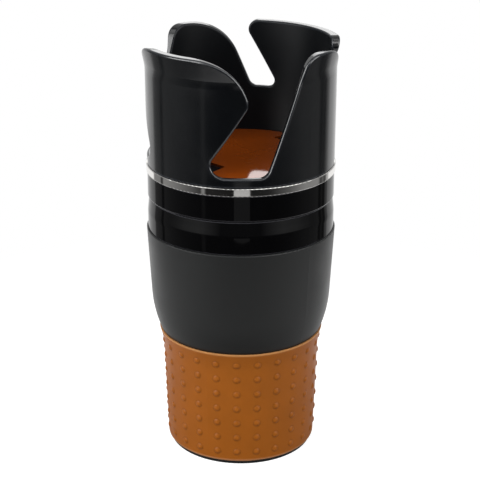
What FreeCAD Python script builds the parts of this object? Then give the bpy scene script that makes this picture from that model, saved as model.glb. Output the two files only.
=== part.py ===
"""Car cup holder: a petal cup that swings aside on an off-centre post and opens a second cup below it.

Millimetres, +Z up, origin at the centre of the foot, on the ground.
Azimuths are counted from the front (-Y) towards +X; the post stands at the back, on +Y.
The model mirrors about the plane X = 0.
"""
import FreeCAD
import Part

import math
import os

Vector = FreeCAD.Vector
UP = Vector(0, 0, 1)
CENTRE = Vector(0, 0, 0)

# Heights of the stacked pieces
FOOT_HEIGHT = 1.8
SLEEVE_HEIGHT = 57.2
BODY_HEIGHT = 51.0
COLLAR_HEIGHT = 15.2
SEAM_GAP = 0.3
HOUSING_HEIGHT = 12.0
CHROME_HEIGHT = 3.7
PETAL_HEIGHT = 56.8

# Fits between pieces
PRESS_CLEARANCE = 0.05
LOOSE_CLEARANCE = 0.3
RUNNING_CLEARANCE = 0.05

# Grip sleeve and the stem that it covers
FOOT_RADIUS = 34.4
FOOT_RING_WIDTH = 5.0
FOOT_RECESS = 1.2
SLEEVE_PROUD = 1.2
SLEEVE_TAPER = 1.7
SLEEVE_FLARE = 1.8
SLEEVE_WAIST_DROP = 6.4
SLEEVE_CURVE = 40.0
SLEEVE_WALL = 2.0
SLEEVE_HEM = 1.2
SLEEVE_LIP_ROUND = 0.7
DOT_ROWS = 7
DOT_COLUMNS = 24
DOT_PITCH = 7.65
DOT_FIRST = 5.3
DOT_RADIUS = 1.65
DOT_HEIGHT = 0.6
DOT_AZIMUTH = 12.0
FUSE_TOLERANCE = 0.0001

# Lower cup
SHOULDER_SET_BACK = 0.8
BODY_TAPER = 2.3
BODY_WAIST_RISE = 8.9
WAIST_CURVE = 54.0
STEM_WALL = 2.2
BODY_WALL = 3.1
BASE_FLOOR = 2.8
BASE_PAD_THICKNESS = 2.0
BODY_PROUD = 0.7

# Gloss collar that closes the lower cup's mouth and carries the post
COLLAR_PROUD = 0.1
COLLAR_WALL = 3.4
COLLAR_CROWN = 0.7
COLLAR_CROWN_DROP = 7.0
COLLAR_CROWN_CURVE = 16.0
SPIGOT_WALL = 1.75
SPIGOT_LENGTH = 6.0
BOSS_RADIUS = 6.4
BOSS_LENGTH = 21.0
BOSS_TIP_RADIUS = 3.4
BOSS_TIP_LENGTH = 6.0

# Swing pivot, set in from the outside of the cup
PIVOT_INSET = 8.0
PIVOT_ROOM = 1.2
POST_RADIUS = 3.0
POST_DEPTH = 16.0
BUSH_WALL = 1.6
BUSH_FLANGE_RADIUS = 5.4
BUSH_FLANGE_THICKNESS = 0.8
HUB_RADIUS = 7.0
HUB_HEIGHT = 8.1
WASHER_RADIUS = 5.2
THRUST_THICKNESS = 1.2
SPRING_HEIGHT = 1.0
SPRING_THICKNESS = 0.5
RETAINER_THICKNESS = 0.8
PIVOT_SCREW_RADIUS = 1.5
PIVOT_SCREW_LENGTH = 9.0
SCREW_HEAD_RADIUS = 2.8
SCREW_HEAD_HEIGHT = 2.0
SCREW_RECESS_RADIUS = 1.2
SCREW_RECESS_DEPTH = 1.2

# Swing housing and the screws that hold the upper cup together
CUP_RADIUS = 43.5
HOUSING_WALL = 2.2
HOUSING_FLOOR = 2.4
HOUSING_SCREW_RADIUS = 1.4
HOUSING_SCREW_CIRCLE = 29.0
HOUSING_SCREW_SEAT = 3.4
HOUSING_SCREW_LENGTH = 8.0
TOWER_WALL = 1.4
TOWER_HEIGHT = 6.0

# Chrome ring
CHROME_PROUD = 0.5
CHROME_BEVEL = 0.3

# Petal cup
CUP_WALL = 3.1
CUP_FLOOR = 2.4
CUP_FLOOR_DROP = 1.0
CUP_SPIGOT_LENGTH = 7.0
CUP_SPIGOT_WALL = 1.65
CUP_DRAFT = 0.2
FLARE_DROP = 11.0
FLARE_OUT = 2.3
FLARE_CURVE = 18.0
RIM_WALL = 4.5
EDGE_ROUND = 0.9
PAD_THICKNESS = 1.8
KEY_LOW = 1.0
KEY_ROUND = 0.8
FRONT_KEY_LENGTH = 19.9
FRONT_KEY_INNER_WIDTH = 19.8
FRONT_KEY_OUTER_WIDTH = 27.4
BACK_KEY_LENGTH = 11.4
BACK_KEY_INNER_WIDTH = 13.2
BACK_KEY_OUTER_WIDTH = 10.0

# Notches: a direction each, and edges as angles from it, seen on the outside of the cup
DEEP_NOTCH_AZIMUTH = 60.0
DEEP_SILL = 4.2
DEEP_SILL_FRONT = -39.2
DEEP_SILL_SIDE = 0.8
DEEP_SILL_FRONT_ROUND = 5.5
DEEP_SILL_SIDE_ROUND = 5.0
DEEP_POINT = -9.4
DEEP_POINT_DROP = 19.7
DEEP_POINT_ROUND = 7.0
DEEP_FRONT_SHOULDER = -20.0
DEEP_FRONT_ROUND = 24.0
DEEP_SIDE_SHOULDER = 27.2
DEEP_SIDE_ROUND = 8.0
DEEP_FRONT_SPAN = -70.0
DEEP_SIDE_SPAN = 75.0
SHALLOW_NOTCH_AZIMUTH = 147.0
SHALLOW_SILL = 25.0
SHALLOW_SILL_SIDE = -4.8
SHALLOW_SILL_BACK = 13.5
SHALLOW_SILL_SIDE_ROUND = 4.0
SHALLOW_SILL_BACK_ROUND = 3.0
SHALLOW_SIDE_SHOULDER = -23.0
SHALLOW_SIDE_ROUND = 25.0
SHALLOW_BACK_POINT = -11.3
SHALLOW_BACK_ROUND = 4.5
SHALLOW_SIDE_SPAN = -85.0
SHALLOW_BACK_SPAN = 60.0
RIM_SHARE = 0.9
RIM_STOCK = 3.0

# Places that follow from the sizes above
SLEEVE_BOTTOM_RADIUS = FOOT_RADIUS + SLEEVE_PROUD
SLEEVE_WAIST_RADIUS = SLEEVE_BOTTOM_RADIUS + SLEEVE_TAPER
SLEEVE_TOP_RADIUS = SLEEVE_WAIST_RADIUS + SLEEVE_FLARE
SHOULDER_Z = FOOT_HEIGHT + SLEEVE_HEIGHT
SLEEVE_WAIST_Z = SHOULDER_Z - SLEEVE_WAIST_DROP
BODY_TOP_Z = SHOULDER_Z + BODY_HEIGHT
COLLAR_TOP_Z = BODY_TOP_Z + COLLAR_HEIGHT
HOUSING_Z = COLLAR_TOP_Z + SEAM_GAP
CHROME_Z = HOUSING_Z + HOUSING_HEIGHT
CUP_Z = CHROME_Z + CHROME_HEIGHT
RIM_Z = CUP_Z + PETAL_HEIGHT
BASE_FLOOR_Z = FOOT_RECESS + BASE_FLOOR
COLLAR_RADIUS = CUP_RADIUS + COLLAR_PROUD
MOUTH_RADIUS = COLLAR_RADIUS - COLLAR_WALL
SPIGOT_RADIUS = MOUTH_RADIUS + SPIGOT_WALL
BODY_TOP_RADIUS = COLLAR_RADIUS + BODY_PROUD
CUP_INNER_RADIUS = CUP_RADIUS - CUP_WALL
CUP_FLOOR_Z = CUP_Z + CUP_FLOOR - CUP_FLOOR_DROP
HOUSING_BORE = CUP_RADIUS - HOUSING_WALL
CUP_SPIGOT_RADIUS = HOUSING_BORE - PRESS_CLEARANCE
PIVOT = Vector(0, CUP_RADIUS - PIVOT_INSET, 0)
HUB_TOP_Z = HOUSING_Z + HUB_HEIGHT
FLANGE_TOP_Z = HUB_TOP_Z + BUSH_FLANGE_THICKNESS
POST_TOP_Z = FLANGE_TOP_Z + SPRING_HEIGHT
RETAINER_TOP_Z = POST_TOP_Z + RETAINER_THICKNESS
TOWER_TOP_Z = HOUSING_Z + TOWER_HEIGHT


def corner_points(before, corner, after):
    """Start, middle and end of the arc that rounds a corner (a, b, radius) of an outline.

    Two corners on one side share its length in the ratio of their radii.
    """
    at = Vector(corner[0], corner[1], 0)
    if corner[2] == 0:
        return at, at, at
    back = Vector(before[0], before[1], 0) - at
    ahead = Vector(after[0], after[1], 0) - at
    half = back.getAngle(ahead) / 2
    room_back = back.Length * corner[2] / (corner[2] + before[2])
    room_ahead = ahead.Length * corner[2] / (corner[2] + after[2])
    reach = min(corner[2] / math.tan(half), room_back, room_ahead)
    radius = reach * math.tan(half)
    back.normalize()
    ahead.normalize()
    inward = (back + ahead).normalize()
    middle = at + inward * (radius / math.sin(half) - radius)
    return at + back * reach, middle, at + ahead * reach


def outline(corners, place):
    """Closed face through corners (a, b, radius); place(a, b) gives the point in space."""
    count = len(corners)
    arcs = []
    for index in range(count):
        arcs.append(corner_points(corners[index - 1], corners[index], corners[(index + 1) % count]))
    edges = []
    for index in range(count):
        start, middle, end = [place(point.x, point.y) for point in arcs[index]]
        following = place(arcs[(index + 1) % count][0].x, arcs[(index + 1) % count][0].y)
        if corners[index][2] > 0:
            edges.append(Part.Arc(start, middle, end).toShape())
        if end.distanceToPoint(following) > 1e-6:
            edges.append(Part.makeLine(end, following))
    return Part.Face(Part.Wire(edges))


def turned(corners, axis=CENTRE):
    """Solid of revolution of corners (radius, height, rounding) about a vertical axis."""
    face = outline(corners, lambda r, z: axis + Vector(r, 0, z))
    return face.revolve(axis, UP, 360)


def cylinder(radius, bottom, top, axis=CENTRE):
    return Part.makeCylinder(radius, top - bottom, axis + Vector(0, 0, bottom))


def direction(azimuth):
    angle = math.radians(azimuth)
    return Vector(math.sin(angle), -math.cos(angle), 0)


def mirrored(shape):
    return shape.mirror(CENTRE, Vector(1, 0, 0))


def sleeve_side(inset):
    """Corners of the sleeve's outside, or of a surface set in from it, from the top down."""
    return [
        (SLEEVE_TOP_RADIUS - inset, SHOULDER_Z, 0),
        (SLEEVE_WAIST_RADIUS - inset, SLEEVE_WAIST_Z, SLEEVE_CURVE + inset),
        (SLEEVE_BOTTOM_RADIUS - inset, FOOT_HEIGHT, 0),
    ]


def make_base_shell():
    """Lower cup: foot ring, stem under the sleeve, shoulder, and a wall with a seat for the collar."""
    stem_inset = SLEEVE_WALL + STEM_WALL
    stem_top, stem_waist, stem_bottom = sleeve_side(SLEEVE_WALL)
    seat_radius = SPIGOT_RADIUS + PRESS_CLEARANCE
    seat_z = BODY_TOP_Z - SPIGOT_LENGTH - LOOSE_CLEARANCE
    body_waist_z = SHOULDER_Z + BODY_WAIST_RISE
    body_waist_radius = BODY_TOP_RADIUS - BODY_TAPER
    inner_waist_z = body_waist_z + BODY_WALL * 2
    return turned([
        (0, FOOT_RECESS, 0),
        (FOOT_RADIUS - FOOT_RING_WIDTH, FOOT_RECESS, 0.5),
        (FOOT_RADIUS - FOOT_RING_WIDTH, 0, 0.5),
        (FOOT_RADIUS, 0, 0.6),
        (FOOT_RADIUS, FOOT_HEIGHT, 0),
        stem_bottom,
        stem_waist,
        stem_top,
        (SLEEVE_TOP_RADIUS - SHOULDER_SET_BACK, SHOULDER_Z, 0.5),
        (body_waist_radius, body_waist_z, WAIST_CURVE),
        (BODY_TOP_RADIUS, BODY_TOP_Z, 0.7),
        (seat_radius, BODY_TOP_Z, 0),
        (seat_radius, seat_z, 0),
        (MOUTH_RADIUS + LOOSE_CLEARANCE, seat_z, 0.6),
        (body_waist_radius - BODY_WALL, inner_waist_z, WAIST_CURVE / 2),
        (SLEEVE_WAIST_RADIUS - stem_inset, SLEEVE_WAIST_Z, WAIST_CURVE / 2),
        (SLEEVE_BOTTOM_RADIUS - stem_inset, BASE_FLOOR_Z, 1.0),
        (0, BASE_FLOOR_Z, 0),
    ])


def sleeve_surface(height):
    """Radius of the sleeve's outside at a height, and the lean of its side there."""
    top, waist, bottom = sleeve_side(0)
    upper, middle, lower = corner_points(top, waist, bottom)
    if height < lower.y:
        lean = math.atan2(lower.x - bottom[0], lower.y - bottom[1])
        return bottom[0] + (height - bottom[1]) * math.tan(lean), lean
    curve = Part.Circle(upper, middle, lower)
    lean = math.asin((height - curve.Center.y) / curve.Radius)
    return curve.Center.x - curve.Radius * math.cos(lean), lean


def sleeve_dot(height):
    """Low dome on the +X side, the cap of a ball, square to the sleeve's side and rooted in its wall."""
    radius, lean = sleeve_surface(height)
    ball = (DOT_RADIUS ** 2 + DOT_HEIGHT ** 2) / (2 * DOT_HEIGHT)
    root = math.degrees(math.asin((ball - DOT_HEIGHT - SLEEVE_WALL / 4) / ball))
    dot = Part.makeSphere(ball, Vector(DOT_HEIGHT - ball, 0, 0), Vector(1, 0, 0), root, 90, 360)
    dot.rotate(CENTRE, Vector(0, 1, 0), math.degrees(lean))
    dot.translate(Vector(radius, 0, height))
    return dot


def make_grip_sleeve():
    """Silicone sleeve with rows of low domes; its own seam is turned to lie between two columns."""
    top, waist, bottom = sleeve_side(0)
    inner_top, inner_waist, inner_bottom = sleeve_side(SLEEVE_WALL)
    sleeve = turned([
        inner_bottom,
        (bottom[0], bottom[1], SLEEVE_HEM),
        waist,
        (top[0], top[1], SLEEVE_LIP_ROUND),
        inner_top,
        inner_waist,
    ])
    column_pitch = 360 / DOT_COLUMNS
    sleeve.rotate(CENTRE, UP, DOT_AZIMUTH + column_pitch / 2 - 90)
    dots = []
    for row in range(DOT_ROWS):
        first = sleeve_dot(FOOT_HEIGHT + DOT_FIRST + row * DOT_PITCH)
        for column in range(DOT_COLUMNS):
            dot = first.copy()
            dot.rotate(CENTRE, UP, DOT_AZIMUTH + column * column_pitch - 90)
            dots.append(dot)
    return sleeve.fuse(dots, FUSE_TOLERANCE)


def make_base_pad():
    radius = SLEEVE_BOTTOM_RADIUS - SLEEVE_WALL - STEM_WALL - 1.0 - LOOSE_CLEARANCE
    return turned([
        (0, BASE_FLOOR_Z, 0),
        (radius, BASE_FLOOR_Z, 0),
        (radius, BASE_FLOOR_Z + BASE_PAD_THICKNESS, 0.6),
        (0, BASE_FLOOR_Z + BASE_PAD_THICKNESS, 0),
    ])


def make_collar_ring():
    """Gloss band with a spigot into the lower cup and a tapered boss for the post."""
    spigot_z = BODY_TOP_Z - SPIGOT_LENGTH
    ring = turned([
        (MOUTH_RADIUS, spigot_z, 0.4),
        (SPIGOT_RADIUS, spigot_z, 0.4),
        (SPIGOT_RADIUS, BODY_TOP_Z, 0),
        (COLLAR_RADIUS, BODY_TOP_Z, 0.5),
        (COLLAR_RADIUS, COLLAR_TOP_Z - COLLAR_CROWN_DROP, COLLAR_CROWN_CURVE),
        (COLLAR_RADIUS - COLLAR_CROWN, COLLAR_TOP_Z, 0.5),
        (MOUTH_RADIUS, COLLAR_TOP_Z, 0.6),
    ])
    boss_z = COLLAR_TOP_Z - BOSS_LENGTH
    boss = turned([
        (0, boss_z, 0),
        (BOSS_TIP_RADIUS, boss_z, 1.0),
        (BOSS_RADIUS, boss_z + BOSS_TIP_LENGTH, 2.0),
        (BOSS_RADIUS, COLLAR_TOP_Z, 0),
        (0, COLLAR_TOP_Z, 0),
    ], PIVOT)
    collar = ring.fuse(boss)
    collar = collar.cut(cylinder(POST_RADIUS, COLLAR_TOP_Z - POST_DEPTH, COLLAR_TOP_Z, PIVOT))
    recess_z = HOUSING_Z - THRUST_THICKNESS
    collar = collar.cut(cylinder(WASHER_RADIUS + LOOSE_CLEARANCE, recess_z, COLLAR_TOP_Z, PIVOT))
    return collar.removeSplitter()


def make_pivot_post():
    bottom = COLLAR_TOP_Z - POST_DEPTH
    post = turned([
        (0, bottom, 0),
        (POST_RADIUS, bottom, 0.4),
        (POST_RADIUS, POST_TOP_Z, 0.3),
        (0, POST_TOP_Z, 0),
    ], PIVOT)
    return post.cut(cylinder(PIVOT_SCREW_RADIUS, RETAINER_TOP_Z - PIVOT_SCREW_LENGTH, POST_TOP_Z, PIVOT))


def make_thrust_washer():
    bottom = HOUSING_Z - THRUST_THICKNESS
    washer = cylinder(WASHER_RADIUS, bottom, HOUSING_Z, PIVOT)
    return washer.cut(cylinder(POST_RADIUS + RUNNING_CLEARANCE, bottom, HOUSING_Z, PIVOT))


def make_pivot_bush():
    """Flanged bush pressed into the housing's hub, running on the post."""
    bore = POST_RADIUS + RUNNING_CLEARANCE
    return turned([
        (bore, HOUSING_Z, 0),
        (POST_RADIUS + BUSH_WALL, HOUSING_Z, 0.3),
        (POST_RADIUS + BUSH_WALL, HUB_TOP_Z, 0),
        (BUSH_FLANGE_RADIUS, HUB_TOP_Z, 0),
        (BUSH_FLANGE_RADIUS, FLANGE_TOP_Z, 0.2),
        (bore, FLANGE_TOP_Z, 0),
    ], PIVOT)


def make_spring_washer():
    """Cupped washer, pressed nearly flat, that loads the bush's flange."""
    inner = POST_RADIUS + LOOSE_CLEARANCE
    return turned([
        (inner, POST_TOP_Z - SPRING_THICKNESS, 0),
        (WASHER_RADIUS, FLANGE_TOP_Z, 0),
        (WASHER_RADIUS, FLANGE_TOP_Z + SPRING_THICKNESS, 0),
        (inner, POST_TOP_Z, 0),
    ], PIVOT)


def make_retaining_washer():
    washer = cylinder(WASHER_RADIUS, POST_TOP_Z, RETAINER_TOP_Z, PIVOT)
    return washer.cut(cylinder(PIVOT_SCREW_RADIUS, POST_TOP_Z, RETAINER_TOP_Z, PIVOT))


def make_screw(shank_radius, head_z, length):
    """Pan-head screw, head up, with a socket in the head; head_z is the seat of the head."""
    screw = turned([
        (0, head_z - length, 0),
        (shank_radius, head_z - length, 0.4),
        (shank_radius, head_z, 0),
        (SCREW_HEAD_RADIUS, head_z, 0),
        (SCREW_HEAD_RADIUS, head_z + SCREW_HEAD_HEIGHT, 0.9),
        (0, head_z + SCREW_HEAD_HEIGHT, 0),
    ])
    top = head_z + SCREW_HEAD_HEIGHT
    return screw.cut(cylinder(SCREW_RECESS_RADIUS, top - SCREW_RECESS_DEPTH, top))


def make_pivot_screw():
    screw = make_screw(PIVOT_SCREW_RADIUS, RETAINER_TOP_Z, PIVOT_SCREW_LENGTH)
    screw.translate(PIVOT)
    return screw


def housing_screw_places():
    return [direction(azimuth) * HOUSING_SCREW_CIRCLE for azimuth in (0, 120, -120)]


def make_swing_housing():
    """Gloss dish under the upper cup, with the pivot's hub and three screw towers inside."""
    housing = turned([
        (0, HOUSING_Z, 0),
        (CUP_RADIUS, HOUSING_Z, 0.6),
        (CUP_RADIUS, CHROME_Z, 0.3),
        (HOUSING_BORE, CHROME_Z, 0),
        (HOUSING_BORE, HOUSING_Z + HOUSING_FLOOR, 0.8),
        (0, HOUSING_Z + HOUSING_FLOOR, 0),
    ])
    housing = housing.fuse(cylinder(HUB_RADIUS, HOUSING_Z, HUB_TOP_Z, PIVOT))
    tower_radius = SCREW_HEAD_RADIUS + LOOSE_CLEARANCE + TOWER_WALL
    seat_z = HOUSING_Z + HOUSING_SCREW_SEAT
    for place in housing_screw_places():
        housing = housing.fuse(cylinder(tower_radius, HOUSING_Z, TOWER_TOP_Z, place))
    for place in housing_screw_places():
        housing = housing.cut(cylinder(SCREW_HEAD_RADIUS + LOOSE_CLEARANCE, HOUSING_Z, seat_z, place))
        housing = housing.cut(cylinder(HOUSING_SCREW_RADIUS + PRESS_CLEARANCE, seat_z, TOWER_TOP_Z, place))
    housing = housing.cut(cylinder(POST_RADIUS + BUSH_WALL, HOUSING_Z, HUB_TOP_Z, PIVOT))
    return housing.removeSplitter()


def make_housing_screws():
    screw = make_screw(HOUSING_SCREW_RADIUS, 0, HOUSING_SCREW_LENGTH)
    screw.rotate(CENTRE, Vector(1, 0, 0), 180)
    screws = []
    for place in housing_screw_places():
        one = screw.copy()
        one.translate(place + Vector(0, 0, HOUSING_Z + HOUSING_SCREW_SEAT))
        screws.append(one)
    return Part.makeCompound(screws)


def make_chrome_ring():
    inner = HOUSING_BORE
    outer = CUP_RADIUS + CHROME_PROUD
    return turned([
        (inner, CHROME_Z, 0),
        (outer, CHROME_Z, CHROME_BEVEL),
        (outer, CUP_Z, CHROME_BEVEL),
        (inner, CUP_Z, 0),
    ])


def notch_cutter(azimuth, corners):
    """Prism across one wall of the cup, along one direction, through corners (angle, height, rounding)."""
    outward = direction(azimuth)
    across = UP.cross(outward)

    def place(u, z):
        return outward * CUP_RADIUS * 0.4 + across * u + Vector(0, 0, z)

    flat = [(CUP_RADIUS * math.sin(math.radians(angle)), z, rounding) for angle, z, rounding in corners]
    return outline(flat, place).extrude(outward * CUP_RADIUS)


def deep_notch():
    """Slot for a mug's handle: an overhanging front edge and a leaning side edge."""
    above = RIM_Z + 2 * RIM_STOCK
    sill = CUP_Z + DEEP_SILL
    return notch_cutter(DEEP_NOTCH_AZIMUTH, [
        (DEEP_SILL_FRONT, sill, DEEP_SILL_FRONT_ROUND),
        (DEEP_SILL_SIDE, sill, DEEP_SILL_SIDE_ROUND),
        (DEEP_SIDE_SHOULDER, RIM_Z, DEEP_SIDE_ROUND),
        (DEEP_SIDE_SPAN, RIM_Z, 0),
        (DEEP_SIDE_SPAN, above, 0),
        (DEEP_FRONT_SPAN, above, 0),
        (DEEP_FRONT_SPAN, RIM_Z, 0),
        (DEEP_FRONT_SHOULDER, RIM_Z, DEEP_FRONT_ROUND),
        (DEEP_POINT, RIM_Z - DEEP_POINT_DROP, DEEP_POINT_ROUND),
    ])


def side_rim():
    """Length of the side petal's rim, between the shoulders of its two notches."""
    deep = DEEP_NOTCH_AZIMUTH + DEEP_SIDE_SHOULDER
    shallow = SHALLOW_NOTCH_AZIMUTH + SHALLOW_SIDE_SHOULDER
    return CUP_RADIUS * math.radians(shallow - deep)


def shallow_notch():
    """Shorter slot towards the back, with a hooked back edge; its rounding leaves some of the rim straight."""
    above = RIM_Z + 2 * RIM_STOCK
    sill = CUP_Z + SHALLOW_SILL
    side_round = min(SHALLOW_SIDE_ROUND, RIM_SHARE * side_rim())
    return notch_cutter(SHALLOW_NOTCH_AZIMUTH, [
        (SHALLOW_SILL_SIDE, sill, SHALLOW_SILL_SIDE_ROUND),
        (SHALLOW_SILL_BACK, sill, SHALLOW_SILL_BACK_ROUND),
        (SHALLOW_BACK_POINT, RIM_Z, SHALLOW_BACK_ROUND),
        (SHALLOW_BACK_SPAN, RIM_Z, 0),
        (SHALLOW_BACK_SPAN, above, 0),
        (SHALLOW_SIDE_SPAN, above, 0),
        (SHALLOW_SIDE_SPAN, RIM_Z, 0),
        (SHALLOW_SIDE_SHOULDER, RIM_Z, side_round),
    ])


def cup_blank():
    """Upper cup before its notches: floor, spigot and a near-upright wall that flares to above the rim."""
    spigot_z = CUP_Z - CUP_SPIGOT_LENGTH
    floor_bottom_z = CUP_FLOOR_Z - CUP_FLOOR
    flare_radius = CUP_RADIUS + CUP_DRAFT
    stock_radius = flare_radius + FLARE_OUT * (FLARE_DROP + RIM_STOCK) / FLARE_DROP
    stock_wall = RIM_WALL + FLARE_OUT * RIM_STOCK / FLARE_DROP
    return turned([
        (0, floor_bottom_z, 0),
        (CUP_SPIGOT_RADIUS - CUP_SPIGOT_WALL, floor_bottom_z, 0),
        (CUP_SPIGOT_RADIUS - CUP_SPIGOT_WALL, spigot_z, 0),
        (CUP_SPIGOT_RADIUS, spigot_z, 0.4),
        (CUP_SPIGOT_RADIUS, CUP_Z, 0),
        (CUP_RADIUS, CUP_Z, 0.5),
        (flare_radius, RIM_Z - FLARE_DROP, FLARE_CURVE),
        (stock_radius, RIM_Z + RIM_STOCK, 0),
        (stock_radius - stock_wall, RIM_Z + RIM_STOCK, 0),
        (CUP_INNER_RADIUS, CUP_FLOOR_Z, 1.0),
        (0, CUP_FLOOR_Z, 0),
    ])


def floor_keys(gap):
    """Blocks on the cup's floor, front and back, that stop the pad from turning, widened by a gap."""
    top = CUP_FLOOR_Z + PAD_THICKNESS - KEY_LOW
    keys = []
    for side, length, inner, outer in (
        (-1, FRONT_KEY_LENGTH, FRONT_KEY_INNER_WIDTH, FRONT_KEY_OUTER_WIDTH),
        (1, BACK_KEY_LENGTH, BACK_KEY_INNER_WIDTH, BACK_KEY_OUTER_WIDTH),
    ):
        near = side * (CUP_INNER_RADIUS - length - gap)
        far = side * (CUP_INNER_RADIUS + CUP_WALL / 4)
        face = outline([
            (-inner / 2 - gap, near, KEY_ROUND),
            (inner / 2 + gap, near, KEY_ROUND),
            (outer / 2 + gap, far, 0),
            (-outer / 2 - gap, far, 0),
        ], lambda x, y: Vector(x, y, CUP_FLOOR_Z - CUP_FLOOR / 2))
        keys.append(face.extrude(UP * (top - CUP_FLOOR_Z + CUP_FLOOR / 2)))
    return keys


def sharp_edges(shape, above):
    """Edges higher than a level at which two faces meet at a clear angle."""
    found = []
    for edge in shape.Edges:
        faces = shape.ancestorsOfType(edge, Part.Face)
        if edge.BoundBox.ZMin < above or len(faces) != 2:
            continue
        middle = edge.valueAt((edge.FirstParameter + edge.LastParameter) / 2)
        normals = [face.normalAt(*face.Surface.parameter(middle)) for face in faces]
        if normals[0].getAngle(normals[1]) > math.radians(20):
            found.append(edge)
    return found


def make_petal_cup():
    """Upper cup with four petals: side cores cut the notches and the rim, and every free edge is rounded."""
    notches = []
    for notch in (deep_notch(), shallow_notch()):
        notches += [notch, mirrored(notch)]
    cup = cup_blank().cut(notches).removeSplitter()
    cup = cup.makeFillet(EDGE_ROUND, sharp_edges(cup, CUP_Z + EDGE_ROUND))
    cup = cup.fuse(floor_keys(0))
    boss_radius = HOUSING_SCREW_RADIUS + TOWER_WALL
    boss_top_z = CUP_FLOOR_Z - CUP_FLOOR
    for place in housing_screw_places():
        cup = cup.fuse(cylinder(boss_radius, TOWER_TOP_Z, boss_top_z, place))
    screw_end_z = HOUSING_Z + HOUSING_SCREW_SEAT + HOUSING_SCREW_LENGTH
    for place in housing_screw_places():
        cup = cup.cut(cylinder(HOUSING_SCREW_RADIUS, TOWER_TOP_Z, screw_end_z, place))
    return cup.cut(pivot_window(boss_top_z))


def pivot_window(top):
    """Gap in the cup's spigot that clears the pivot's washers as the cup swings."""
    half = WASHER_RADIUS + PIVOT_ROOM
    bottom = CUP_Z - CUP_SPIGOT_LENGTH - PIVOT_ROOM
    corner = PIVOT + Vector(-half, -half, bottom)
    return Part.makeBox(2 * half, 2 * half, top - bottom, corner)


def make_cup_pad():
    """Soft disc on the upper cup's floor, cut out round the floor's keys."""
    radius = CUP_INNER_RADIUS - LOOSE_CLEARANCE
    pad = turned([
        (0, CUP_FLOOR_Z, 0),
        (radius, CUP_FLOOR_Z, 1.0),
        (radius, CUP_FLOOR_Z + PAD_THICKNESS, 0.5),
        (0, CUP_FLOOR_Z + PAD_THICKNESS, 0),
    ])
    cuts = []
    for key in floor_keys(LOOSE_CLEARANCE):
        cuts += [key, key.translated(UP * 1.5 * KEY_LOW)]
    return pad.cut(cuts)


PIECES = {
    "base_shell": make_base_shell,
    "grip_sleeve": make_grip_sleeve,
    "base_pad": make_base_pad,
    "collar_ring": make_collar_ring,
    "pivot_post": make_pivot_post,
    "thrust_washer": make_thrust_washer,
    "spring_washer": make_spring_washer,
    "retaining_washer": make_retaining_washer,
    "pivot_screw": make_pivot_screw,
    "pivot_bush": make_pivot_bush,
    "swing_housing": make_swing_housing,
    "housing_screws": make_housing_screws,
    "chrome_ring": make_chrome_ring,
    "petal_cup": make_petal_cup,
    "cup_pad": make_cup_pad,
}

os.makedirs("parts", exist_ok=True)
for name, make in PIECES.items():
    make().exportStep(os.path.join("parts", name + ".step"))
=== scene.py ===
"""Looks of the swing-out cup holder: finishes for each piece, a white studio and the camera.

Metres, in the frame of the solids: +Z up, the front petal on -Y, the swing post on +Y.
"""
import math

import bpy
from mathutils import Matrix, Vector

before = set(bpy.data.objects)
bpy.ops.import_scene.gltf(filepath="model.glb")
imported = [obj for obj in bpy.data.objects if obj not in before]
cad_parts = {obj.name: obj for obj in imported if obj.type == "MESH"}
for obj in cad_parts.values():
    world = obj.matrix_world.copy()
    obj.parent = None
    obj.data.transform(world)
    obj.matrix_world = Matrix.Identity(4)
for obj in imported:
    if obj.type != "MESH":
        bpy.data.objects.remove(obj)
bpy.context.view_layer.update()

WHITE = (1.0, 1.0, 1.0, 1.0)

# Camera, from the ellipses of the rings in the photograph
IMAGE_SIZE = 480
FOCAL_PIXELS = 1433.0
AXIS_PIXEL_X = 240.9
CAMERA_AZIMUTH = math.radians(45.0)
CAMERA_DISTANCE = 0.6368
CAMERA_HEIGHT = 0.340
CAMERA_PITCH = math.radians(20.56)
SENSOR_WIDTH = 36.0

# Directions of the studio as the camera sees it
TOWARDS_CAMERA = Vector((math.sin(CAMERA_AZIMUTH), -math.cos(CAMERA_AZIMUTH), 0.0))
CAMERA_RIGHT = Vector((math.cos(CAMERA_AZIMUTH), math.sin(CAMERA_AZIMUTH), 0.0))
UP = Vector((0.0, 0.0, 1.0))

# Table top: white to the camera, faded so that only the shadow by the foot shows
FLOOR_RADIUS = 0.30
FLOOR_SIDES = 128
FLOOR_CLEAR = 0.10
FLOOR_FADED = 0.291
FLOOR_COLOUR = (0.45, 0.45, 0.45, 1.0)
FLOOR_ROUGHNESS = 0.9
FLOOR_GLOW = 0.8

# Brightness of the table in reflections, by angle in degrees from the camera, right positive
TABLE_RING = (
    (-180.0, 0.9),
    (-132.0, 0.9),
    (-112.0, 0.7),
    (112.0, 0.7),
    (132.0, 0.9),
    (180.0, 0.9),
)

# The table is dim by the foot, in the holder's own shadow, and lit from this far out
TABLE_DIM = 0.03
TABLE_DIM_RADIUS = 0.05
TABLE_LIT_RADIUS = 0.17

# Even light that reaches the holder from all round
ROOM_LIGHT = 0.14

# Brightness of the studio round the holder, by angle in degrees from the camera, right positive
STUDIO_RING = (
    (-180.0, 1.0),
    (-132.0, 1.0),
    (-129.0, 0.25),
    (-114.0, 0.22),
    (-112.0, 0.04),
    (-109.0, 0.04),
    (-107.0, 0.26),
    (-90.0, 0.22),
    (-62.0, 0.10),
    (-49.0, 0.04),
    (-47.5, 0.24),
    (-44.5, 0.24),
    (-43.0, 0.02),
    (-10.0, 0.012),
    (12.0, 0.012),
    (36.0, 0.02),
    (60.0, 0.10),
    (84.0, 0.24),
    (108.0, 0.26),
    (111.0, 0.05),
    (114.0, 0.06),
    (117.0, 0.16),
    (120.0, 0.05),
    (124.0, 0.08),
    (126.0, 0.4),
    (131.0, 0.5),
    (133.0, 1.0),
    (180.0, 1.0),
)

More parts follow.
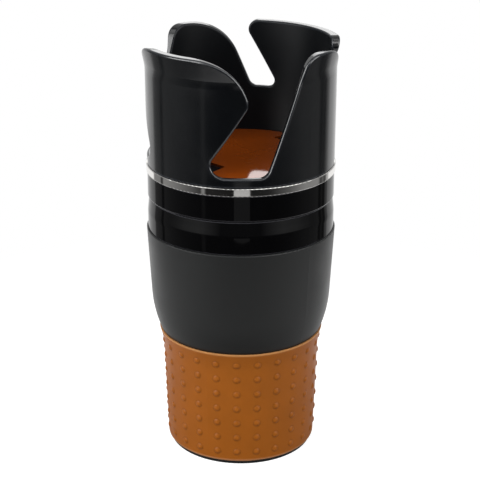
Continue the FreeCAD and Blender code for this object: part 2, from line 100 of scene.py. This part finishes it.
# The same from just under the horizon up, where the softboxes light the far end of the table
HORIZON_RING = (
    (-180.0, 0.35),
    (-132.0, 0.35),
    (-129.0, 0.12),
    (-100.0, 0.12),
    (-72.0, 1.0),
    (-52.0, 1.0),
    (-24.0, 0.06),
    (24.0, 0.06),
    (52.0, 0.9),
    (72.0, 0.9),
    (100.0, 0.12),
    (129.0, 0.12),
    (132.0, 0.35),
    (180.0, 0.35),
)
HORIZON_GAIN = 2.4
HORIZON_FOOT = math.sin(math.radians(-14.0))
HORIZON_FULL = math.sin(math.radians(-6.0))

# Values between which most of a noise lies
NOISE_LOW = 0.3
NOISE_HIGH = 0.7

# Painted edge highlights and shade: rays sent into the wall at a point, and the share that stays in
# it where the edge mask is full
EDGE_MASK_RAYS = 12
EDGE_MASK_SHARE = 0.75

# The petal cup is duller inside, from where its faces turn to the axis by this much
INSIDE_EDGE = -0.3
INSIDE_FULL = -0.8
INSIDE_ROUGHER = 0.2
INSIDE_SHINE = 0.12
OUTSIDE_SHINE = 0.5

# Dots of the sleeve: columns round it and rows up it
DOT_RADIUS = 0.00165
DOT_TURN = math.radians(15.0)
DOT_FIRST_TURN = math.radians(-78.0)
DOT_PITCH = 0.00765
DOT_FIRST_HEIGHT = 0.0071
SLEEVE_RADIUS = 0.0370

# Painted light on a dot: painted shade in a ring at its foot, as (diameters from its middle,
# level), and a painted highlight on its top, in radii from its middle
DOT_FOOT_SHADE = ((0.30, 0.0), (0.50, 1.0), (0.70, 0.0))
DOT_FOOT_SHADE_GAIN = -0.2
DOT_HIGHLIGHT_INNER = 0.15
DOT_HIGHLIGHT_OUTER = 0.6
DOT_HIGHLIGHT_GAIN = 0.06

# Painted highlight along the sleeve's top rim, and a paler band at its hem: height, half width and
# added colour
SLEEVE_RIM_HIGHLIGHT = (0.0590, 0.0013, (0.24, 0.15, 0.07))
SLEEVE_HEM = (0.0024, 0.0012, (0.12, 0.09, 0.06))


def clear_selection():
    if bpy.context.mode != "OBJECT":
        bpy.ops.object.mode_set(mode="OBJECT")
    bpy.ops.object.select_all(action="DESELECT")


def add_node(tree, kind, **values):
    """New shader node with its attributes and its named inputs set."""
    node = tree.nodes.new(kind)
    for name, value in values.items():
        if name in node.inputs:
            node.inputs[name].default_value = value
        else:
            setattr(node, name, value)
    return node


def feed(tree, value, socket):
    """Link into a socket from another one, or set a constant on it."""
    if isinstance(value, bpy.types.NodeSocket):
        tree.links.new(value, socket)
    else:
        socket.default_value = value


def add_math(tree, operation, *values):
    node = add_node(tree, "ShaderNodeMath", operation=operation)
    for value, socket in zip(values, node.inputs):
        feed(tree, value, socket)
    return node.outputs["Value"]


def add_vector_math(tree, operation, *values):
    node = add_node(tree, "ShaderNodeVectorMath", operation=operation)
    for value, socket in zip(values, node.inputs):
        feed(tree, value, socket)
    return node.outputs["Value" if operation in ("DOT_PRODUCT", "LENGTH") else "Vector"]


def add_range(tree, value, start, end, low=0.0, high=1.0, kind="SMOOTHSTEP"):
    """Value from start to end turned into low to high; each one a link or a number."""
    node = add_node(tree, "ShaderNodeMapRange", interpolation_type=kind)
    feed(tree, value, node.inputs["Value"])
    feed(tree, start, node.inputs["From Min"])
    feed(tree, end, node.inputs["From Max"])
    feed(tree, low, node.inputs["To Min"])
    feed(tree, high, node.inputs["To Max"])
    return node.outputs["Result"]


def add_ramp(tree, value, stops):
    """Grey level at a value from 0 to 1, straight between stops (position, level)."""
    ramp = add_node(tree, "ShaderNodeValToRGB")
    elements = ramp.color_ramp.elements
    for element, (position, level) in zip([elements[0], elements[1]], (stops[0], stops[-1])):
        element.position = position
        element.color = (level, level, level, 1.0)
    for position, level in stops[1:-1]:
        elements.new(position).color = (level, level, level, 1.0)
    feed(tree, value, ramp.inputs["Fac"])
    return ramp.outputs["Color"]


def add_mix(tree, factor, first, second):
    """First value where the factor is 0, second where it is 1."""
    mix = add_node(tree, "ShaderNodeMix", data_type="FLOAT")
    for value, socket in ((factor, 0), (first, 2), (second, 3)):
        feed(tree, value, mix.inputs[socket])
    return mix.outputs[0]


def add_noise(tree, place, scale, detail, roughness):
    noise = add_node(tree, "ShaderNodeTexNoise", Detail=detail, Roughness=roughness)
    feed(tree, place, noise.inputs["Vector"])
    feed(tree, scale, noise.inputs["Scale"])
    return noise.outputs["Fac"]


def add_group(tree, group, values):
    """Outputs of a node group with its named inputs set."""
    node = add_node(tree, "ShaderNodeGroup", node_tree=group)
    for label, value in values.items():
        node.inputs[label].default_value = value
    return node.outputs


def new_group(name, inputs, outputs):
    """Empty shader node group with float inputs (name, value) and outputs, and its own sockets."""
    group = bpy.data.node_groups.new(name, "ShaderNodeTree")
    for label, value in inputs:
        socket = group.interface.new_socket(
            label, in_out="INPUT", socket_type="NodeSocketFloat"
        )
        socket.default_value = value
    for label in outputs:
        group.interface.new_socket(label, in_out="OUTPUT", socket_type="NodeSocketFloat")
    given = group.nodes.new("NodeGroupInput").outputs
    return group, given, group.nodes.new("NodeGroupOutput").inputs


def make_moulded_grain():
    """Spark-eroded mould texture: fine pits, with a slow drift in how rough it is."""
    group, given, out = new_group(
        "moulded_grain",
        [("Pits per metre", 3000.0), ("Drift per metre", 60.0), ("Low", 0.4), ("High", 0.5)],
        ["Height", "Roughness"],
    )
    place = add_node(group, "ShaderNodeTexCoord").outputs["Object"]
    pits = add_noise(group, place, given["Pits per metre"], detail=2.0, roughness=0.6)
    drift = add_noise(group, place, given["Drift per metre"], detail=3.0, roughness=0.5)
    spread = add_range(
        group, drift, NOISE_LOW, NOISE_HIGH, given["Low"], given["High"], kind="LINEAR"
    )
    feed(group, pits, out["Height"])
    feed(group, spread, out["Roughness"])
    return group


def make_colour_drift():
    """Slow change of tone over a surface, between two factors."""
    group, given, out = new_group(
        "colour_drift", [("Patches per metre", 30.0), ("Low", 0.9), ("High", 1.1)], ["Factor"]
    )
    place = add_node(group, "ShaderNodeTexCoord").outputs["Object"]
    patches = add_noise(group, place, given["Patches per metre"], detail=4.0, roughness=0.55)
    spread = add_range(
        group, patches, NOISE_LOW, NOISE_HIGH, given["Low"], given["High"], kind="LINEAR"
    )
    feed(group, spread, out["Factor"])
    return group


def make_painted_edge_mask():
    """Mask of the outer edges for painted highlights and shade: rays sent into the wall soon leave
    it again there.
    """
    group, given, out = new_group("painted_edge_mask", [("Reach", 0.0012), ("Edge", EDGE_MASK_SHARE)], ["Mask"])
    depth = add_node(group, "ShaderNodeAmbientOcclusion", inside=True, samples=EDGE_MASK_RAYS)
    feed(group, given["Reach"], depth.inputs["Distance"])
    feed(group, add_range(group, depth.outputs["AO"], 1.0, given["Edge"]), out["Mask"])
    return group


def make_height_band():
    """Mask that is 1 at one height and fades out above and below it."""
    group, given, out = new_group(
        "height_band", [("Height", 0.0), ("Half width", 0.001)], ["Mask"]
    )
    place = add_node(group, "ShaderNodeTexCoord")
    split = add_node(group, "ShaderNodeSeparateXYZ")
    feed(group, place.outputs["Object"], split.inputs["Vector"])
    above = add_math(group, "SUBTRACT", split.outputs["Z"], given["Height"])
    away = add_math(group, "ABSOLUTE", above)
    feed(group, add_range(group, away, 0.0, given["Half width"], 1.0, 0.0), out["Mask"])
    return group


def make_dot_light_masks():
    """Masks for painted shade at the foot and a painted highlight on the top of each dot, by the
    distance from the nearest dot's middle.
    """
    group, given, out = new_group("dot_light_masks", [("Radius", DOT_RADIUS)], ["Foot", "Top"])
    place = add_node(group, "ShaderNodeTexCoord")
    split = add_node(group, "ShaderNodeSeparateXYZ")
    feed(group, place.outputs["Object"], split.inputs["Vector"])
    turn = add_math(group, "ARCTAN2", split.outputs["Y"], split.outputs["X"])
    offsets = []
    for value, first, pitch in (
        (turn, DOT_FIRST_TURN, DOT_TURN),
        (split.outputs["Z"], DOT_FIRST_HEIGHT, DOT_PITCH),
    ):
        past_first = add_math(group, "SUBTRACT", value, first)
        offsets.append(add_math(group, "WRAP", past_first, pitch / 2, -pitch / 2))
    away = add_node(group, "ShaderNodeCombineXYZ")
    feed(group, add_math(group, "MULTIPLY", offsets[0], SLEEVE_RADIUS), away.inputs["X"])
    feed(group, offsets[1], away.inputs["Y"])
    reach = add_vector_math(group, "LENGTH", away.outputs["Vector"])
    radii = add_math(group, "DIVIDE", reach, given["Radius"])
    diameters = add_math(group, "MULTIPLY", radii, 0.5)
    feed(group, add_ramp(group, diameters, DOT_FOOT_SHADE), out["Foot"])
    feed(group, add_range(group, radii, DOT_HIGHLIGHT_INNER, DOT_HIGHLIGHT_OUTER, 1.0, 0.0), out["Top"])
    return group


MOULDED_GRAIN = make_moulded_grain()
COLOUR_DRIFT = make_colour_drift()
PAINTED_EDGE_MASK = make_painted_edge_mask()
HEIGHT_BAND = make_height_band()
DOT_LIGHT_MASKS = make_dot_light_masks()


def new_material(name):
    material = bpy.data.materials.new(name)
    material.use_nodes = True
    return material, material.node_tree, material.node_tree.nodes["Principled BSDF"]


def set_colour(tree, shader, colour, patches, low, high, marks=(), tints=()):
    """Base colour with a slow drift of tone.

    Each mark (mask, gain) makes it paler or darker, and each tint (mask, colour) is added to it.
    """
    drift = {"Patches per metre": patches, "Low": low, "High": high}
    factor = add_group(tree, COLOUR_DRIFT, drift)["Factor"]
    for mask, gain in marks:
        change = add_math(tree, "MULTIPLY_ADD", mask, gain, 1.0)
        factor = add_math(tree, "MULTIPLY", factor, change)
    scale = add_node(tree, "ShaderNodeVectorMath", operation="SCALE")
    feed(tree, colour, scale.inputs[0])
    feed(tree, factor, scale.inputs["Scale"])
    result = scale.outputs["Vector"]
    for mask, tint in tints:
        result = add_vector_math(tree, "MULTIPLY_ADD", mask, tint, result)
    feed(tree, result, shader.inputs["Base Color"])


def set_grain(tree, shader, pits, depth, low, high, drift=60.0, rougher=None):
    """Fine grain on bump, a slow drift of roughness, and rougher by a (mask, amount)."""
    grain = add_group(
        tree,
        MOULDED_GRAIN,
        {"Pits per metre": pits, "Drift per metre": drift, "Low": low, "High": high},
    )
    bump = add_node(tree, "ShaderNodeBump", Distance=depth, Strength=1.0)
    feed(tree, grain["Height"], bump.inputs["Height"])
    roughness = grain["Roughness"]
    if rougher:
        mask, amount = rougher
        roughness = add_math(tree, "MULTIPLY_ADD", mask, amount, roughness)
    feed(tree, roughness, shader.inputs["Roughness"])
    feed(tree, bump.outputs["Normal"], shader.inputs["Normal"])


def add_painted_edge_mask(tree, reach):
    """Mask of the outer edges within a reach, for painted highlights and shade."""
    return add_group(tree, PAINTED_EDGE_MASK, {"Reach": reach})["Mask"]


def add_height_band(tree, height, half_width):
    return add_group(tree, HEIGHT_BAND, {"Height": height, "Half width": half_width})["Mask"]


def add_inside(tree):
    """Mask of the faces that look towards the axis of a turned piece."""
    place = add_node(tree, "ShaderNodeTexCoord").outputs
    level = add_vector_math(tree, "MULTIPLY", place["Object"], (1.0, 1.0, 0.0))
    outward = add_vector_math(tree, "NORMALIZE", level)
    facing = add_vector_math(tree, "DOT_PRODUCT", outward, place["Normal"])
    return add_range(tree, facing, INSIDE_EDGE, INSIDE_FULL)


def make_petal_black():
    """Smooth satin moulding of the upper cup, duller inside, with painted highlights along its
    edges.
    """
    material, tree, shader = new_material("petal_black")
    set_colour(
        tree, shader, (0.0022, 0.0026, 0.0032), patches=40.0, low=0.85, high=1.15,
        # Paler edges: a painted highlight along the rounded edges
        marks=[(add_painted_edge_mask(tree, reach=0.0009), 8.0)],
    )
    inside = add_inside(tree)
    set_grain(
        tree, shader, pits=2500.0, depth=0.000003, low=0.13, high=0.17,
        rougher=(inside, INSIDE_ROUGHER),
    )
    shine = add_math(tree, "MULTIPLY_ADD", inside, INSIDE_SHINE - OUTSIDE_SHINE, OUTSIDE_SHINE)
    feed(tree, shine, shader.inputs["Specular IOR Level"])
    return material


def make_shell_black():
    """Fine matte texture of the lower cup, a little paler than the petals, with a faint painted
    highlight along its edges.
    """
    material, tree, shader = new_material("shell_black")
    shader.inputs["Specular IOR Level"].default_value = 0.22
    set_colour(
        tree, shader, (0.0031, 0.0035, 0.0035), patches=30.0, low=0.9, high=1.1,
        # Paler edges: a faint painted highlight along the edges
        marks=[(add_painted_edge_mask(tree, reach=0.0006), 2.5)],
    )
    set_grain(tree, shader, pits=3600.0, depth=0.000012, low=0.38, high=0.44)
    return material


def make_gloss_black():
    """Polished black of the two bands, with the faintest smears and painted highlights along the
    edges.
    """
    material, tree, shader = new_material("gloss_black")
    shader.inputs["Specular IOR Level"].default_value = 0.13
    set_colour(
        tree, shader, (0.0015, 0.0015, 0.0017), patches=25.0, low=0.8, high=1.2,
        # Much paler edges: a painted highlight along the seam and the other edges
        marks=[(add_painted_edge_mask(tree, reach=0.0004), 40.0)],
    )
    set_grain(tree, shader, pits=250.0, depth=0.0000015, low=0.02, high=0.05, drift=40.0)
    return material


def make_chrome():
    """Bright plating, with painted shade darkening its edges, which are also duller."""
    material, tree, shader = new_material("chrome_plate")
    shader.inputs["Metallic"].default_value = 1.0
    # Edge mask: painted shade darkens the plating along the edges, and they are rougher too
    edge_shade_and_dull = add_painted_edge_mask(tree, reach=0.0004)
    set_colour(
        tree, shader, (0.79, 0.775, 0.75), patches=80.0, low=0.97, high=1.0, marks=[(edge_shade_and_dull, -0.6)]
    )
    set_grain(
        tree, shader, pits=300.0, depth=0.000002, low=0.03, high=0.08, rougher=(edge_shade_and_dull, 0.3)
    )
    return material


def make_sleeve_brown():
    """Soft silicone of the sleeve, with painted shade and highlights on its dots, a painted
    highlight on its top rim and a paler hem.
    """
    material, tree, shader = new_material("sleeve_brown")
    shader.inputs["Specular IOR Level"].default_value = 0.12
    dots = add_group(tree, DOT_LIGHT_MASKS, {})
    set_colour(
        tree, shader, (0.246, 0.0705, 0.0054), patches=60.0, low=0.93, high=1.05,
        # Painted shade round each dot's foot and a painted highlight on its top
        marks=[(dots["Foot"], DOT_FOOT_SHADE_GAIN), (dots["Top"], DOT_HIGHLIGHT_GAIN)],
        # Painted highlight along the top rim, and a paler band at the hem
        tints=[
            (add_height_band(tree, height, half_width), colour)
            for height, half_width, colour in (SLEEVE_RIM_HIGHLIGHT, SLEEVE_HEM)
        ],
    )
    set_grain(tree, shader, pits=2600.0, depth=0.00002, low=0.36, high=0.45)
    return material


def make_pad_brown():
    """Smooth, shiny silicone of the pads."""
    material, tree, shader = new_material("pad_brown")
    set_colour(tree, shader, (0.236, 0.044, 0.0022), patches=50.0, low=0.93, high=1.05)
    set_grain(tree, shader, pits=900.0, depth=0.000002, low=0.04, high=0.07)
    return material


def make_plated_steel():
    material, tree, shader = new_material("plated_steel")
    shader.inputs["Metallic"].default_value = 1.0
    set_colour(tree, shader, (0.52, 0.52, 0.53), patches=300.0, low=0.9, high=1.05)
    set_grain(tree, shader, pits=1500.0, depth=0.00001, low=0.22, high=0.34, drift=200.0)
    return material


def make_bearing_white():
    material, tree, shader = new_material("bearing_white")
    set_colour(tree, shader, (0.72, 0.71, 0.67), patches=200.0, low=0.95, high=1.02)
    set_grain(tree, shader, pits=2000.0, depth=0.000008, low=0.35, high=0.45)
    return material


def dress_nodes():
    """Each solid takes the finish of its slot."""
    petal, shell, gloss = make_petal_black(), make_shell_black(), make_gloss_black()
    steel, white, pad = make_plated_steel(), make_bearing_white(), make_pad_brown()
    finishes = {
        "petal_cup": petal,
        "base_shell": shell,
        "swing_housing": gloss,
        "collar_ring": gloss,
        "chrome_ring": make_chrome(),
        "grip_sleeve": make_sleeve_brown(),
        "cup_pad": pad,
        "base_pad": pad,
        "pivot_post": steel,
        "spring_washer": steel,
        "retaining_washer": steel,
        "pivot_screw": steel,
        "housing_screws": steel,
        "thrust_washer": white,
        "pivot_bush": white,
    }
    for name, finish in finishes.items():
        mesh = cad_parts[name].data
        mesh.materials.clear()
        mesh.materials.append(finish)


def add_studio_ring(tree, direction, levels):
    """Brightness of a ring of levels in a direction, by its angle from the camera."""
    sideways = add_vector_math(tree, "DOT_PRODUCT", direction, CAMERA_RIGHT)
    forwards = add_vector_math(tree, "DOT_PRODUCT", direction, TOWARDS_CAMERA)
    angle = add_math(tree, "ARCTAN2", sideways, forwards)
    turn = add_range(tree, angle, -math.pi, math.pi, kind="LINEAR")
    return add_ramp(tree, turn, [((degrees + 180.0) / 360.0, level) for degrees, level in levels])


def make_floor():
    """Round table top: white with the foot's shadow to the camera, its ring to reflections."""
    clear_selection()
    bpy.ops.mesh.primitive_circle_add(
        vertices=FLOOR_SIDES, radius=FLOOR_RADIUS, fill_type="NGON"
    )
    floor = bpy.context.object
    floor.name = "table_top"
    material, tree, shader = new_material("table_white")
    shader.inputs["Base Color"].default_value = FLOOR_COLOUR
    shader.inputs["Roughness"].default_value = FLOOR_ROUGHNESS
    shader.inputs["Specular IOR Level"].default_value = 0.0
    shader.inputs["Emission Color"].default_value = WHITE
    path = add_node(tree, "ShaderNodeLightPath").outputs
    place = add_node(tree, "ShaderNodeTexCoord").outputs["Object"]
    reach = add_vector_math(tree, "LENGTH", place)
    lit = add_range(tree, reach, TABLE_DIM_RADIUS, TABLE_LIT_RADIUS, TABLE_DIM)
    ring = add_math(tree, "MULTIPLY", add_studio_ring(tree, place, TABLE_RING), lit)
    reflected = add_mix(tree, path["Is Glossy Ray"], 0.0, ring)
    glow = add_mix(tree, path["Is Camera Ray"], reflected, FLOOR_GLOW)
    feed(tree, glow, shader.inputs["Emission Strength"])
    fade = add_range(tree, reach, FLOOR_CLEAR, FLOOR_FADED)
    white = add_node(tree, "ShaderNodeEmission", Strength=1.0)
    mix = add_node(tree, "ShaderNodeMixShader")
    feed(tree, add_math(tree, "MULTIPLY", fade, path["Is Camera Ray"]), mix.inputs["Fac"])
    feed(tree, shader.outputs["BSDF"], mix.inputs[1])
    feed(tree, white.outputs["Emission"], mix.inputs[2])
    feed(tree, mix.outputs["Shader"], tree.nodes["Material Output"].inputs["Surface"])
    floor.data.materials.append(material)


def make_world():
    """White to the camera, the studio's rings to reflections, and an even light for the rest."""
    world = bpy.data.worlds.new("studio")
    bpy.context.scene.world = world
    world.use_nodes = True
    tree = world.node_tree
    background = tree.nodes["Background"]
    background.inputs["Color"].default_value = WHITE
    path = add_node(tree, "ShaderNodeLightPath").outputs
    direction = add_node(tree, "ShaderNodeTexCoord").outputs["Generated"]
    split = add_node(tree, "ShaderNodeSeparateXYZ")
    feed(tree, direction, split.inputs["Vector"])
    rise = add_range(tree, split.outputs["Z"], HORIZON_FOOT, HORIZON_FULL)
    low_ring = add_studio_ring(tree, direction, STUDIO_RING)
    high_ring = add_studio_ring(tree, direction, HORIZON_RING)
    ring = add_mix(tree, rise, low_ring, add_math(tree, "MULTIPLY", high_ring, HORIZON_GAIN))
    unseen = add_mix(tree, path["Is Glossy Ray"], ROOM_LIGHT, ring)
    level = add_mix(tree, path["Is Camera Ray"], unseen, 1.0)
    feed(tree, level, background.inputs["Strength"])


def add_softbox(name, place, size, power, aim=0.1):
    """Rectangular lamp at a place (right, towards, up) as the camera sees it.

    It is turned to a height on the holder's axis.
    """
    right, towards, height = place
    data = bpy.data.lights.new(name, "AREA")
    data.shape = "RECTANGLE"
    data.size, data.size_y = size
    data.energy = power
    lamp = bpy.data.objects.new(name, data)
    bpy.context.scene.collection.objects.link(lamp)
    lamp.location = CAMERA_RIGHT * right + TOWARDS_CAMERA * towards + UP * height
    lamp.rotation_euler = (UP * aim - lamp.location).to_track_quat("-Z", "Y").to_euler()
    return lamp


def light_studio():
    """Softboxes left, right, over the camera, over the cup and behind, and a low strip in front."""
    add_softbox("softbox_left", place=(-0.80, 0.42, 0.42), size=(0.9, 0.58), power=10.0)
    add_softbox("softbox_right", place=(0.80, 0.42, 0.42), size=(0.9, 0.58), power=6.4)
    add_softbox("softbox_front", place=(-0.05, 0.75, 0.85), size=(1.4, 0.35), power=6.0)
    add_softbox(
        "strip_front", place=(0.012, 0.545, -0.047), size=(0.176, 0.05), power=0.014, aim=0.12
    )
    above = add_softbox(
        "softbox_above", place=(0.0, -0.45, 0.95), size=(0.7, 0.4), power=4.0, aim=0.15
    )
    above.visible_glossy = False
    add_softbox(
        "softbox_behind", place=(0.0, -0.8, 0.44), size=(0.3, 0.2), power=0.35, aim=0.15
    )


def set_camera():
    data = bpy.data.cameras.new("photo_camera")
    data.sensor_width = SENSOR_WIDTH
    data.lens = SENSOR_WIDTH * FOCAL_PIXELS / IMAGE_SIZE
    camera = bpy.data.objects.new("photo_camera", data)
    bpy.context.scene.collection.objects.link(camera)
    camera.location = TOWARDS_CAMERA * CAMERA_DISTANCE + UP * CAMERA_HEIGHT
    turn = math.atan((AXIS_PIXEL_X - IMAGE_SIZE / 2) / FOCAL_PIXELS)
    camera.rotation_euler = (math.pi / 2 - CAMERA_PITCH, 0.0, CAMERA_AZIMUTH + turn)
    bpy.context.scene.camera = camera


dress_nodes()
make_floor()
make_world()
light_studio()
set_camera()
bpy.context.scene.view_settings.view_transform = "Standard"
